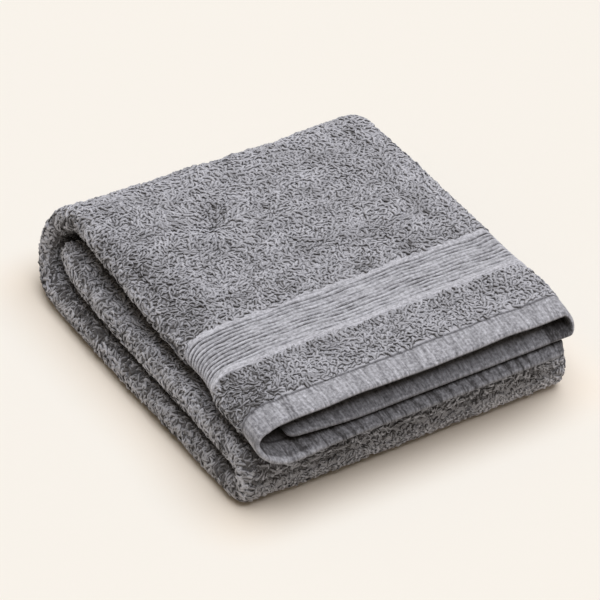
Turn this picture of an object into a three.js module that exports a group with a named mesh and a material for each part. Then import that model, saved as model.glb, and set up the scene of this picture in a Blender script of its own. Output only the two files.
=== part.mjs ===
import * as THREE from 'three';

// Sports towel folded in three across its width and then rolled in three along its length.
// Sizes are millimetres. X runs along the hem, Y from the hem end to the back bend, Z is up.
// The cloth is one sheet: every point of it is found from two folding positions, across and along.

// The cloth
const terryThickness = 3.9;
const wovenThickness = 2.7;
const hemWidth = 14.3;
const tuckedHemWidth = 4;
const borderStart = 41.8;
const borderEnd = 74.6;
const pileStep = 1.5;
const edgeStep = 1.2;
const edgeShare = 0.6;

// The strip made by the first folding, three layers of cloth thick
const layerGap = 0.8;
const layerPitch = terryThickness + layerGap;
const stripThickness = 3 * terryThickness + 2 * layerGap;
const lowHeight = terryThickness / 2;
const middleHeight = lowHeight + layerPitch;
const highHeight = middleHeight + layerPitch;
const mouthLift = 1.7;
const mouthReach = 0.55;
const leftCurlReach = { top: 15, rest: 4.7, start: 0.7, end: 1.15 };
const rightCurlReach = 3.5;
const flapInset = 18;
const selvedgeInset = 11.5;

// The roll made by the second folding
const panelWidth = 180;
const rollDepth = 206.3;
const rollHeight = 43.6;
const frontBendRadius = 0.5;
const frontBendSquareness = 3.15;
const topPanelFront = 28;
const frontPartLength = 95;
const backBendRadius = rollHeight / 2 - stripThickness;
const backBendY = rollDepth - rollHeight / 2;
const frontBendY = stripThickness + frontBendRadius;

// The fuller corner at the back left and the end tucked into the back bend
const cornerRise = 5;
const cornerDepth = 3.6;
const cornerStart = 0.35;
const cornerEnd = 1.2;
const tuckLift = 3;
const tuckLiftStart = 0.55;
const tuckRight = 2;
const tuckLeft = 9;

// How far each layer lies from the front bend at the hem, and short of the tucked end
const layerRows = [
  { level: 0, hemEdge: -8, tuckedShort: 0 },
  { level: 0.5, hemEdge: 0.7, tuckedShort: 2 },
  { level: 1, hemEdge: 6.9, tuckedShort: 4 },
];

// Left and right limits of the strip: 0 hem, 1 back bend, 2 bottom, 3 front bend, 4 inside, 5 tucked end
const outlineRows = [
  { along: 0, left: 8.2, right: 183 },
  { along: 0.095, left: 8.8, right: 186 },
  { along: 0.19, left: 9.2, right: 186.2 },
  { along: 0.25, left: 11.2, right: 186.2 },
  { along: 0.3, left: 12.8, right: 186 },
  { along: 0.4, left: 13.2, right: 186 },
  { along: 0.5, left: 13.2, right: 185.8 },
  { along: 0.65, left: 13.5, right: 185.6 },
  { along: 0.85, left: 15, right: 185.2 },
  { along: 1, left: 16, right: 184.2 },
  { along: 1.25, left: 12.5, right: 181.5 },
  { along: 1.5, left: 8, right: 179.5 },
  { along: 2, left: 0, right: 180 },
  { along: 2.8, left: 0, right: 180 },
  { along: 3, left: 0.6, right: 179.9 },
  { along: 3.5, left: 2, right: 179.4 },
  { along: 4, left: 3.6, right: 178.7 },
  { along: 4.3, left: 4.6, right: 178.5 },
  { along: 4.6, left: 4.6, right: 178.5 },
  { along: 4.9, left: 6.5, right: 178.5 },
  { along: 5, left: 11, right: 178.5 },
];

// Number of facets in each stretch of the sheet
const acrossCounts = [7, 6, 9, 8, 8];
const alongCounts = { topBack: 6, backBend: 14, bottom: 5, frontBend: 12, inside: 9 };

const { lerp, smoothstep, clamp } = THREE.MathUtils;

// Smooth curve through one column of the outline rows
function outlineAt(column, along) {
  const last = outlineRows.length - 1;
  let row = 0;
  while (row < last - 1 && along >= outlineRows[row + 1].along) {
    row += 1;
  }
  const slope = (k) => {
    const rise = outlineRows[k + 1][column] - outlineRows[k][column];
    return rise / (outlineRows[k + 1].along - outlineRows[k].along);
  };
  const tangent = (k) => (slope(Math.max(k - 1, 0)) + slope(Math.min(k, last - 1))) / 2;
  const span = outlineRows[row + 1].along - outlineRows[row].along;
  const t = clamp((along - outlineRows[row].along) / span, 0, 1);
  const rest = 1 - t;
  const fromStart = rest * rest * ((1 + 2 * t) * outlineRows[row][column] + t * span * tangent(row));
  const fromEnd = t * t * ((1 + 2 * rest) * outlineRows[row + 1][column] - rest * span * tangent(row + 1));
  return fromStart + fromEnd;
}

// Straight line through one column of the layer rows
function layerAt(column, level) {
  const row = level < layerRows[1].level ? 0 : 1;
  const share = (level - layerRows[row].level) / (layerRows[row + 1].level - layerRows[row].level);
  return lerp(layerRows[row][column], layerRows[row + 1][column], share);
}

// First folding: 0 to 1 flap, to 2 right curl, to 3 high layer, to 4 left curl, to 5 low layer
function stripPoint(across, along) {
  const open = along < 1 ? mouthLift * (1 - smoothstep(along, 0, mouthReach)) : 0;
  const high = highHeight + open;
  const left = outlineAt('left', along);
  const right = outlineAt('right', along);
  const leftRise = (high - lowHeight) / 2;
  const rightRise = (high - middleHeight) / 2;
  const pastTop = smoothstep(along, leftCurlReach.start, leftCurlReach.end);
  const leftReach = lerp(leftCurlReach.top, leftCurlReach.rest, pastTop);
  const rightReach = Math.min(rightRise, rightCurlReach);
  const leftX = left + terryThickness / 2 + leftReach;
  const rightX = right - terryThickness / 2 - rightReach;
  if (across <= 1) {
    return { x: lerp(left + flapInset, rightX, across), height: middleHeight, level: 0.5 };
  }
  if (across <= 2) {
    const turn = (across - 1.5) * Math.PI;
    const x = rightX + rightReach * Math.cos(turn);
    const height = middleHeight + rightRise * (1 + Math.sin(turn));
    return { x, height, level: 0.75 + 0.25 * Math.sin(turn) };
  }
  if (across <= 3) {
    return { x: lerp(rightX, leftX, across - 2), height: high, level: 1 };
  }
  if (across <= 4) {
    const turn = (across - 3.5) * Math.PI;
    const x = leftX - leftReach * Math.cos(turn);
    const height = lowHeight + leftRise * (1 - Math.sin(turn));
    return { x, height, level: 0.5 - 0.5 * Math.sin(turn) };
  }
  return { x: lerp(leftX, right - selvedgeInset, across - 4), height: lowHeight, level: 0 };
}

// Flattened circle used for the front bend
function squared(value, power) {
  return Math.sign(value) * Math.abs(value) ** (2 / power);
}

// Second folding: turns a point of the strip into a point of the roll
function foldPoint(across, along) {
  const { x, height, level } = stripPoint(across, along);
  const corner = clamp(1 - x / panelWidth, 0, 1) ** 2;
  const hemY = layerAt('hemEdge', level);
  let y = 0;
  let z = 0;
  let fullness = 0;
  if (along <= 1) {
    const frontY = hemY + frontPartLength * Math.min(along * 2, 1);
    y = lerp(frontY, backBendY, Math.max(along * 2 - 1, 0));
    z = lerp(topPanelFront, stripThickness + 2 * backBendRadius, smoothstep(along, 0, 1)) + height;
    fullness = smoothstep(along, cornerStart, 1);
  } else if (along <= 2) {
    const turn = (1.5 - along) * Math.PI;
    y = backBendY + (backBendRadius + cornerDepth * corner + height) * Math.cos(turn);
    z = rollHeight / 2 + (backBendRadius + height) * Math.sin(turn);
    fullness = 1 - smoothstep(along, cornerEnd, 2);
  } else if (along <= 3) {
    y = lerp(backBendY, frontBendY, along - 2);
    z = stripThickness - height;
  } else if (along <= 4) {
    const turn = (along - 3.5) * Math.PI;
    const power = lerp(2, frontBendSquareness, (height / stripThickness) ** 2);
    y = frontBendY - (frontBendRadius + height) * squared(Math.cos(turn), power);
    z = frontBendY + (frontBendRadius + height) * squared(Math.sin(turn), power);
  } else {
    const inside = along - 4;
    const tucked = backBendY + lerp(tuckRight, tuckLeft, corner) - layerAt('tuckedShort', level);
    y = lerp(frontBendY, tucked, inside);
    z = stripThickness + 2 * frontBendRadius + height;
    z += tuckLift * corner * smoothstep(inside, tuckLiftStart, 1);
  }
  z += cornerRise * corner * fullness * (z / rollHeight);
  return new THREE.Vector3(x, y, z);
}

// Direction square to the sheet, towards the face that lies up on the top panel
function sheetNormal(across, along) {
  const step = 0.002;
  const acrossAfter = foldPoint(Math.min(across + step, 5), along);
  const acrossBefore = foldPoint(Math.max(across - step, 0), along);
  const alongAfter = foldPoint(across, Math.min(along + step, 5));
  const alongBefore = foldPoint(across, Math.max(along - step, 0));
  return alongAfter.sub(alongBefore).cross(acrossAfter.sub(acrossBefore)).normalize();
}

// Thickness along the sheet: thin at the hems and the woven border, full where there is pile
function thicknessAt(along) {
  const rise = (distance, place) => smoothstep(distance, place - pileStep / 2, place + pileStep / 2);
  const fromHem = along * 2 * frontPartLength;
  const fromTuckedEnd = (5 - along) * (backBendY - frontBendY);
  const offHems = rise(fromHem, hemWidth) * rise(fromTuckedEnd, tuckedHemWidth);
  const offBorder = 1 - rise(fromHem, borderStart) * (1 - rise(fromHem, borderEnd));
  return lerp(wovenThickness, terryThickness, offHems * offBorder);
}

// Folding positions at which the sheet is cut into facets
function evenStops(from, to, count) {
  return Array.from({ length: count }, (_, k) => lerp(from, to, (k + 1) / count));
}

function acrossStops() {
  const edge = edgeStep / panelWidth;
  const inner = acrossCounts.flatMap((count, k) => evenStops(k, k + 1, count));
  return [0, edge, ...inner.slice(0, -1), 5 - edge, 5];
}

function alongStops() {
  const besideStep = (place) => [place - pileStep / 2, place + pileStep / 2];
  const strip = evenStops(hemWidth, borderStart, 4).slice(0, -1);
  const border = evenStops(borderStart, borderEnd, 3).slice(0, -1);
  const frontStops = [
    0,
    edgeStep,
    hemWidth / 2,
    ...besideStep(hemWidth),
    ...strip,
    ...besideStep(borderStart),
    ...border,
    ...besideStep(borderEnd),
    frontPartLength,
  ];
  const insideLength = backBendY - frontBendY;
  const tuckedStops = [...besideStep(tuckedHemWidth).reverse(), edgeStep, 0];
  const hemPlace = 1 - (tuckedHemWidth + 2 * pileStep) / insideLength;
  return [
    ...frontStops.map((distance) => distance / (2 * frontPartLength)),
    ...evenStops(0.5, 1, alongCounts.topBack),
    ...evenStops(1, 2, alongCounts.backBend),
    ...evenStops(2, 3, alongCounts.bottom),
    ...evenStops(3, 4, alongCounts.frontBend),
    ...evenStops(4, 4 + hemPlace, alongCounts.inside),
    ...tuckedStops.map((distance) => 5 - distance / insideLength),
  ];
}

// The closed solid: both faces of the sheet and the four rims between them
function sheetSolid() {
  const acrossList = acrossStops();
  const alongList = alongStops();
  const acrossLast = acrossList.length - 1;
  const alongLast = alongList.length - 1;
  const positions = [];
  const faces = [];
  acrossList.forEach((across, i) => {
    alongList.forEach((along, j) => {
      const atEdge = i === 0 || j === 0 || i === acrossLast || j === alongLast;
      const half = (thicknessAt(along) / 2) * (atEdge ? edgeShare : 1);
      const centre = foldPoint(across, along);
      const offset = sheetNormal(across, along).multiplyScalar(half);
      positions.push(...centre.clone().add(offset).toArray());
      positions.push(...centre.clone().sub(offset).toArray());
    });
  });
  const face = (i, j) => 2 * (i * alongList.length + j);
  const back = (i, j) => face(i, j) + 1;
  const rim = (i, j, nextI, nextJ) => {
    faces.push(face(i, j), face(nextI, nextJ), back(nextI, nextJ));
    faces.push(face(i, j), back(nextI, nextJ), back(i, j));
  };
  for (let i = 0; i < acrossLast; i += 1) {
    for (let j = 0; j < alongLast; j += 1) {
      faces.push(face(i, j), face(i, j + 1), face(i + 1, j));
      faces.push(face(i + 1, j), face(i, j + 1), face(i + 1, j + 1));
      faces.push(back(i, j), back(i + 1, j), back(i, j + 1));
      faces.push(back(i + 1, j), back(i + 1, j + 1), back(i, j + 1));
    }
    rim(i, 0, i + 1, 0);
    rim(i + 1, alongLast, i, alongLast);
  }
  for (let j = 0; j < alongLast; j += 1) {
    rim(0, j + 1, 0, j);
    rim(acrossLast, j, acrossLast, j + 1);
  }
  const geometry = new THREE.BufferGeometry();
  geometry.setAttribute('position', new THREE.Float32BufferAttribute(positions, 3));
  geometry.setIndex(faces);
  return geometry;
}

// Origin at the bottom centre of the folded towel
function centred(geometry) {
  geometry.computeBoundingBox();
  const { min, max } = geometry.boundingBox;
  geometry.translate(-(min.x + max.x) / 2, -(min.y + max.y) / 2, -min.z);
  geometry.computeVertexNormals();
  return geometry;
}

const towelMaterial = new THREE.MeshStandardMaterial({ color: '#8f8d93', roughness: 0.95, metalness: 0 });
const towel = new THREE.Mesh(centred(sheetSolid()), towelMaterial);
towel.name = 'towel';

const group = new THREE.Group();
group.name = 'folded_towel';
group.add(towel);

export default group;
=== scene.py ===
import math
from functools import partial

import bmesh
import bpy
import numpy as np
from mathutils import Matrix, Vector
from mathutils.bvhtree import BVHTree


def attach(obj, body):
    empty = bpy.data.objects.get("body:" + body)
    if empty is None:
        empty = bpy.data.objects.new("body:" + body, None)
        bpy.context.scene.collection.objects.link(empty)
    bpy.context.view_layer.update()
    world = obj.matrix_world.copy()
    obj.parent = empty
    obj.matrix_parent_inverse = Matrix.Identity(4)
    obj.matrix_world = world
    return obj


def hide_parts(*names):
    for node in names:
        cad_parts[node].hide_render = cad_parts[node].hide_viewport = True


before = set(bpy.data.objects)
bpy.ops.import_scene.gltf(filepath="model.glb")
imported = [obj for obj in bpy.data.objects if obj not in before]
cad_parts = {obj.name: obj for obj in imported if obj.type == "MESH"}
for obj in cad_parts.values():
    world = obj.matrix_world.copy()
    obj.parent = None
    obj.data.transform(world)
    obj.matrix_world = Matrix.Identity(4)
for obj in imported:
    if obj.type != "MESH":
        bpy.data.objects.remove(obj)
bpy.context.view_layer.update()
scene = bpy.context.scene
mm = 0.001

# folded shape in mm, with the solid's sizes
# places on the sheet count from 0 to 5 across and from 0 to 5 along
fold = {
    "terry": 3.9,  # ground with pile on both sides
    "hem": 14.3, "borderStart": 41.8, "borderEnd": 74.6, "layerGap": 0.8,
    "mouthLift": 1.7,  # the upper layer stands open at the hem
    "mouthReach": 0.55,
    "leftReach": (15.0, 4.7),  # of the top panel, then of the rest
    "leftReachEase": (0.7, 1.15), "rightReach": 3.5,
    "flapInset": 18.0, "selvedgeInset": 11.5,
    "width": 180.0, "depth": 206.3, "height": 43.6,
    "frontRadius": 0.5, "frontSquare": 3.15, "topFront": 28.0,
    "frontPart": 95.0,  # the front half of the top panel
    "cornerRise": 5.0, "cornerDepth": 3.6, "cornerStart": 0.35, "cornerEnd": 1.2,
    "tuckLift": 3.0, "tuckLiftStart": 0.55, "tuckRight": 2.0, "tuckLeft": 9.0,
    "hemEdges": (-8.0, 0.7, 6.9),  # low, middle and high layer
    "tuckedShort": (0.0, 2.0, 4.0), "centre": (92.675, 100.668),
}
# what the soft cloth does beyond the solid
soft = {
    "hemReach": 2.1,  # the upper hem lies a little further out
    "hemReachFrom": 0.55,
    "flapReach": 1.8,  # so does the flap's hem, and lies lower
    "flapDroop": 1.3, "flapCorner": 0.25,
    "lipReach": 1.8,  # the low hem runs further right
    "lipFrom": 4.7, "lipAt": (0.045, 0.03),
    "lipDroop": 1.7,  # and hangs where it leaves the left bend
    "lipHangs": (3.3, 3.6, 3.98, 4.16),
    "noseCorner": 0.13,  # the front bend is rounder at its left end
    "noseCornerWide": 40.0,
}
# left and right limits of the strip: along, left, right
outline = np.array([
    (0.0, 8.2, 183.0), (0.095, 8.8, 186.0), (0.19, 9.2, 186.2),
    (0.25, 11.2, 186.2), (0.3, 12.8, 186.0), (0.4, 13.2, 186.0),
    (0.5, 13.2, 185.8), (0.65, 13.5, 185.6), (0.85, 15.0, 185.2),
    (1.0, 16.0, 184.2), (1.25, 12.5, 181.5), (1.5, 8.0, 179.5),
    (2.0, 0.0, 180.0), (2.8, 0.0, 180.0), (3.0, 0.6, 179.9),
    (3.5, 2.0, 179.4), (4.0, 3.6, 178.7), (4.3, 4.6, 178.5),
    (4.6, 4.6, 178.5), (4.9, 6.5, 178.5), (5.0, 11.0, 178.5),
])
stripThick = 3 * fold["terry"] + 2 * fold["layerGap"]
lowHeight = fold["terry"] / 2
midHeight = lowHeight + fold["terry"] + fold["layerGap"]
highHeight = midHeight + fold["terry"] + fold["layerGap"]
backRadius = fold["height"] / 2 - stripThick
backY = fold["depth"] - fold["height"] / 2
frontY = stripThick + fold["frontRadius"]
panelLong = 2 * fold["frontPart"]


def ease(x, low, high):
    t = np.clip((x - low) / (high - low), 0.0, 1.0)
    return t * t * (3.0 - 2.0 * t)


def mix(a, b, t):
    return a + (b - a) * t


# 1 at its middle, falling off softly
def hump(x, middle, wide):
    return np.exp(-((x - middle) / wide) ** 2)


# 1 between the rise and the fall
def plateau(x, rise, top, fall, end):
    return ease(x, rise, top) * (1 - ease(x, fall, end))


def within(x, low, high):
    return (x > low) & (x < high)


# smooth curve through one column of the outline
def outlineAt(column, along):
    stops, values = outline[:, 0], outline[:, column]
    slopes = np.diff(values) / np.diff(stops)
    tangents = np.concatenate([[slopes[0]], (slopes[1:] + slopes[:-1]) / 2, [slopes[-1]]])
    row = np.clip(np.searchsorted(stops, along, side="right") - 1, 0, len(stops) - 2)
    span = stops[row + 1] - stops[row]
    t = np.clip((along - stops[row]) / span, 0.0, 1.0)
    r = 1.0 - t
    start = r * r * ((1 + 2 * t) * values[row] + t * span * tangents[row])
    return start + t * t * ((1 + 2 * r) * values[row + 1] - r * span * tangents[row + 1])


# first folding: 0 to 1 flap, to 2 right curl, to 3 high layer, to 4 left curl, to 5 low layer
def stripPoint(across, along):
    opened = fold["mouthLift"] * (1 - ease(along, 0.0, fold["mouthReach"]))
    high = highHeight + opened
    left, right = outlineAt(1, along), outlineAt(2, along)
    leftRise, rightRise = (high - lowHeight) / 2, (high - midHeight) / 2
    leftReach = mix(*fold["leftReach"], ease(along, *fold["leftReachEase"]))
    rightReach = np.minimum(rightRise, fold["rightReach"])
    leftX = left + fold["terry"] / 2 + leftReach
    rightX = right - fold["terry"] / 2 - rightReach
    turnR, turnL = (across - 1.5) * math.pi, (across - 3.5) * math.pi
    parts = [across <= 1, across <= 2, across <= 3, across <= 4]
    x = np.select(parts, [
        mix(left + fold["flapInset"], rightX, across),
        rightX + rightReach * np.cos(turnR),
        mix(rightX, leftX, across - 2),
        leftX - leftReach * np.cos(turnL),
    ], mix(leftX, right - fold["selvedgeInset"], across - 4))
    height = np.select(parts, [
        midHeight, midHeight + rightRise * (1 + np.sin(turnR)),
        high, lowHeight + leftRise * (1 - np.sin(turnL)),
    ], lowHeight)
    level = np.select(parts, [0.5, 0.75 + 0.25 * np.sin(turnR), 1.0, 0.5 - 0.5 * np.sin(turnL)], 0.0)
    return x, height, level


# second folding: 0 to 1 top panel, to 2 back bend, to 3 bottom, to 4 front bend, to 5 inside panel
def foldPoint(across, along):
    across, along = np.broadcast_arrays(np.asarray(across, float), np.asarray(along, float))
    x, height, level = stripPoint(across, along)
    corner = np.clip(1 - x / fold["width"], 0.0, 1.0) ** 2
    levels = (0.0, 0.5, 1.0)
    hemY = np.interp(level, levels, fold["hemEdges"])
    tucked = backY + mix(fold["tuckRight"], fold["tuckLeft"], corner)
    tucked = tucked - np.interp(level, levels, fold["tuckedShort"])
    half = hemY + fold["frontPart"] * np.minimum(along * 2, 1)
    atHem = 1 - ease(along, 0, fold["hem"] / 2 / fold["frontPart"])
    flap = (across < 2) * (1 - ease(level, 0.5, 1)) * atHem * ease(across, 0, soft["flapCorner"])
    half = half - soft["hemReach"] * ease(level, soft["hemReachFrom"], 1) * atHem - soft["flapReach"] * flap
    x = x + soft["lipReach"] * ease(across, soft["lipFrom"], 5) * hump(along, *soft["lipAt"])
    nose = soft["noseCorner"] * (1 - ease(x, 0, soft["noseCornerWide"]))
    backTurn, frontTurn = (1.5 - along) * math.pi, (along - 3.5) * math.pi
    power = 2 / mix(2.0, fold["frontSquare"], (height / stripThick) ** 2)
    flatCos = np.abs(np.cos(frontTurn)) ** power
    flatSin = np.sign(np.sin(frontTurn)) * np.abs(np.sin(frontTurn)) ** power
    inside = along - 4
    parts = [along <= 1, along <= 2, along <= 3, along <= 4]
    y = np.select(parts, [
        mix(half, backY, np.maximum(along * 2 - 1, 0)),
        backY + (backRadius + fold["cornerDepth"] * corner + height) * np.cos(backTurn),
        mix(backY, frontY, along - 2),
        frontY - (fold["frontRadius"] + height) * flatCos * (1 - nose),
    ], mix(frontY, tucked, inside))
    z = np.select(parts, [
        mix(fold["topFront"], stripThick + 2 * backRadius, ease(along, 0, 1)) + height,
        fold["height"] / 2 + (backRadius + height) * np.sin(backTurn),
        stripThick - height,
        frontY + (fold["frontRadius"] + height) * flatSin,
    ], stripThick + 2 * fold["frontRadius"] + height
        + fold["tuckLift"] * corner * ease(inside, fold["tuckLiftStart"], 1))
    full = np.where(along <= 1, ease(along, fold["cornerStart"], 1), 1 - ease(along, fold["cornerEnd"], 2))
    z = z + fold["cornerRise"] * corner * full * z / fold["height"] - soft["flapDroop"] * flap
    z = z - soft["lipDroop"] * atHem ** 2 * plateau(across, *soft["lipHangs"])
    return np.stack([x - fold["centre"][0], y - fold["centre"][1], z], -1)


def unit(way):
    return way / np.linalg.norm(way, axis=-1, keepdims=True)


# along the weft, and square to the face that lies up on top
def foldAxes(across, along, step=0.002):
    weft = foldPoint(np.minimum(across + step, 5), along) - foldPoint(np.maximum(across - step, 0), along)
    warp = foldPoint(across, np.minimum(along + step, 5)) - foldPoint(across, np.maximum(along - step, 0))
    return unit(weft), unit(np.cross(warp, weft))


def runningLength(points):
    return np.concatenate([[0.0], np.cumsum(np.linalg.norm(np.diff(points, axis=0), axis=1))])


# flat size in mm: weft on the top panel, warp as the mean of the three layers
acrossScale = np.linspace(0, 5, 1001)
alongScale = np.linspace(0, 5, 1601)
weftScale = runningLength(foldPoint(acrossScale, 0.7))
warpScale = np.mean([runningLength(foldPoint(a, alongScale)) for a in (0.5, 2.5, 4.5)], axis=0)
clothWidth, clothLength = weftScale[-1], warpScale[-1]
curlWeft = np.interp(3.0, acrossScale, weftScale)
print("cloth", round(clothWidth), "by", round(clothLength), "mm")


# sum of slow waves, the same on every run
def slowWaves(a, b, pitch, seed, count=5):
    draw = np.random.default_rng(seed)
    total = 0
    for _ in range(count):
        turn, phase = draw.uniform(0, 2 * math.pi, 2)
        stretch = draw.uniform(0.6, 1.6)
        way = a * math.cos(turn) + b * math.sin(turn)
        total = total + np.sin(way * 2 * math.pi / (pitch * stretch) + phase)
    return total / math.sqrt(count)


# waves from a setting: height, pitch in mm, seed
def waveOf(setting, a, b):
    height, pitch, seed = setting
    return height * slowWaves(a, b, pitch, seed)


# dips and ridges of the top: x, y, direction in degrees, half-length, half-width, rise
creases = [
    (-21.8, 46.5, 0, 8, 8.0, -1.5),
    (-15.4, 59.0, 63, 10, 1.4, -1.2),
    (-11.5, 54.0, 36, 8, 1.3, -1.0),
    (-27.7, 47.7, 168, 6, 1.3, -1.1),
    (-23.2, 46.0, 20, 4, 1.6, -1.2),
    (-27.0, 33.5, 68, 8, 1.3, -1.2),
    (-22.1, 29.5, 89, 7, 1.2, -1.1),
    (-69.7, 25.4, 92, 16, 1.4, -1.0),
    (-34.5, 54.9, 94, 7, 1.2, -0.8),
    (-40.0, 52.0, 95, 30, 8.0, 0.9),
    (12.0, -3.0, 15, 18, 5.0, -0.8),
    (52.0, 40.0, 40, 26, 9.0, -0.9),
    (24.0, 62.0, 150, 24, 8.0, 0.7),
    (72.0, 72.0, 120, 16, 6.0, -0.8),
    (-62.0, -78.0, 80, 12, 2.2, -1.0),
]


# rise of the creases, or of those narrower than a width
def creaseRise(points, along, widest=99.0):
    rise = np.zeros(points.shape[:-1])
    for x, y, turn, halfLong, halfWide, height in creases:
        if halfWide < widest:
            cosT, sinT = math.cos(math.radians(turn)), math.sin(math.radians(turn))
            dx, dy = points[..., 0] - x, points[..., 1] - y
            a, b = (dx * cosT + dy * sinT) / halfLong, (dy * cosT - dx * sinT) / halfWide
            rise = rise + height * np.exp(-a * a - b * b)
    return np.where(along < 1, rise, 0.0)


# the sheet of cloth: a flat slab folded into place
clothLook = {
    "groundHalf": 1.0,  # half thickness under the pile
    "underHem": 0.45, "borderHalf": 1.2, "borderStep": (0.3, 0.4),
    "endRound": 1.6, "edgeRound": 1.5,
    "cornerRound": 2.4,  # rounded hem corners: depth, then reach along the hem and beside it
    "cornerLong": 5.0, "cornerWide": 12.0, "floorGap": 0.02,
    "ribDepth": 0.75, "ribPitch": 2.4, "ribStart": 46.4, "ribEnd": 71.1, "ribFade": 0.6, "ribSharp": 1.7,
    "ribWave": (0.7, 46, 31),  # the ribs wander
    "ribRipple": (0.22, 11, 32),
    "ribStrength": 0.7,  # and come and go
    "ribSlow": (0.25, 30, 33), "ribQuick": (0.3, 9, 34), "ribRange": (0.15, 1.1),
    "ribCurl": (1.05, 24.0),  # strength on the left bend, and its start
    "lowStrip": 0.22,  # the strip below the ribs stands a little higher
    "lowStripEdge": (1.0, 0.4),
    "swell": (0.35, 38, 41),  # slow unevenness of the layers
    "restZone": (1.75, 2.0, 3.0, 3.2),  # the resting face stays flat
    "tightZone": (1.9, 4.2), "tightShare": 0.15, "hiddenShare": 0.3,
    "noseAt": 3.51,  # the crease along the front fold
    "noseWander": (0.012, 60, 42), "noseDepth": 1.3, "noseWide": 0.02,
    "acrossCounts": (24, 12, 56, 24, 30),
    "frontRows": (5, 9, 124, 6),  # on the hem, the terry strip, the border and the terry behind it
    "foldRows": {(0.5, 1): 20, (1, 2): 26, (2, 3): 16, (3, 4): 22, (3.46, 3.56): 8, (4, 4.95): 17},
    "grooveShade": 0.86,  # painted shade: in the grooves,
    "backShade": 0.86,  # on the folded-in face,
    "bendShade": 0.72,  # on the bends and the front bend,
    "frontShade": 0.6,
    "lipShade": 0.45,  # under the hem's lip
    "edgeShade": 0.45,  # and on the left edge
}


def spread(low, high, count):
    return [low + (high - low) * (k + 1) / count for k in range(count)]


def acrossStops():
    stops = [0.0, 0.004]
    for part, count in enumerate(clothLook["acrossCounts"]):
        stops += spread(part, part + 1, count)
    return np.array(sorted(stops + [4.996]))


def alongStops():
    places = (1.2, fold["hem"] + 0.5, fold["borderStart"] - 0.6, fold["borderEnd"] + 0.6, fold["frontPart"])
    front = [places[0]]
    for low, high, count in zip(places, places[1:], clothLook["frontRows"]):
        front += spread(low, high, count)
    stops = [f / panelLong for f in front] + [4.97, 4.985, 4.993, 4.998, 5.0]
    for (low, high), count in clothLook["foldRows"].items():
        stops += spread(low, high, count)
    return np.array(sorted(set(stops)))


# how deep a place lies in a groove, 0 to 1
def grooveShare(weft, warp):
    look, start, end = clothLook, clothLook["ribStart"], clothLook["ribEnd"]
    wave = waveOf(look["ribWave"], weft, warp * 0.4) + waveOf(look["ribRipple"], weft, warp * 2.0)
    turn = (warp + wave - start) * math.pi / look["ribPitch"]
    groove = (0.5 + 0.5 * np.cos(2 * turn)) ** look["ribSharp"]
    inRibs = plateau(warp, start - look["ribFade"], start, end, end + look["ribFade"])
    strength = look["ribStrength"] + waveOf(look["ribSlow"], weft, warp * 2.0)
    strength = strength + waveOf(look["ribQuick"], weft, warp * 3.0)
    onCurl = ease(weft, curlWeft - look["ribCurl"][1], curlWeft)  # the grooves open on the left bend
    return groove * inRibs * np.clip(mix(strength, look["ribCurl"][0], onCurl), *look["ribRange"])


# painted shade on the sheet: in the border's grooves, on the bends and the front bend, under the hem's lip,
# on the left edge and on the folded-in face
def clothShades(weft, warp, side, across, along):
    look = clothLook
    bend = plateau(across, 3.1, 3.4, 3.7, 3.95)
    shadow = look["frontShade"] * ease(along, 2.9, 3.1)
    shadow = shadow + look["lipShade"] * ease(along, 3.49, 3.6) * (along < 4) * (across > 2)
    bend = np.maximum(bend, shadow) * (warp > fold["borderEnd"])
    inTerry = (warp < fold["borderStart"]) | (warp > fold["borderEnd"])
    edge = look["edgeShade"] * ease(across, 2.86, 3.1) * (along < 1) * inTerry
    outer = np.maximum(look["bendShade"] * bend, edge)
    outer = np.maximum(look["grooveShade"] * grooveShare(weft, warp), outer)
    return np.clip(np.where(side > 0, outer, look["backShade"]), 0, 1)


# height of a half circle at a distance from its edge
def roundOff(distance, reach, least):
    return np.sqrt(np.clip(1 - (1 - np.clip(distance / reach, 0, 1)) ** 2, least, 1))


def clothHalf(weft, warp, side):
    look = clothLook
    start, end, (low, high) = fold["borderStart"], fold["borderEnd"], look["borderStep"]
    border = look["borderHalf"] - look["ribDepth"] * grooveShare(weft, warp)
    stripEnd = [look["ribStart"] - edge for edge in look["lowStripEdge"]]
    border = border + look["lowStrip"] * (1 - ease(warp, *stripEnd))
    inBorder = plateau(warp, start - low, start + high, end - high, end + low)
    half = mix(look["groundHalf"], border, inBorder)
    half = np.where(warp < fold["hem"] + 0.2, look["underHem"], half)
    return half * roundOff(clothLength - warp, look["endRound"], least=0.04)


# slow swelling, with none on the resting face
def clothSwell(points, along, weft, warp, level):
    look = clothLook
    upper = level > 0.9
    lift = waveOf(look["swell"], weft, warp) + creaseRise(points, along) * upper
    resting = plateau(along, *look["restZone"])
    tight = np.where(within(along, *look["tightZone"]), look["tightShare"], 1.0)
    hidden = np.where(upper, 1.0, look["hiddenShare"])
    nose = look["noseAt"] + waveOf(look["noseWander"], weft, warp)
    groove = look["noseDepth"] * hump(along, nose, look["noseWide"]) * upper
    return lift * (1 - resting) * tight * hidden - groove


sheetKeys = ("points", "axis", "normal", "weft", "warp")


def clothPoint(across, along, side, halfAt=clothHalf):
    look = clothLook
    weft, warp = np.interp(across, acrossScale, weftScale), np.interp(along, alongScale, warpScale)
    warp = np.where(along < 0.5, along * panelLong, warp)
    points = foldPoint(across, along)
    axis, normal = foldAxes(across, along)
    level = stripPoint(across, along)[2]
    rise = clothSwell(points, along, weft, warp, level)
    edge = np.minimum(weft, clothWidth - weft)
    corner = (1 - np.clip(edge / look["cornerLong"], 0, 1)) ** 2
    points[..., 1] += look["cornerRound"] * corner * (1 - ease(warp, 0, look["cornerWide"]))
    reach = halfAt(weft, warp, side) * roundOff(edge, look["edgeRound"], least=0.06)
    return points + normal * (rise + side * reach)[..., None], axis, normal, weft, warp


def addPiece(name, mesh):
    piece = bpy.data.objects.new(name, mesh)
    scene.collection.objects.link(piece)
    return piece


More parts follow.
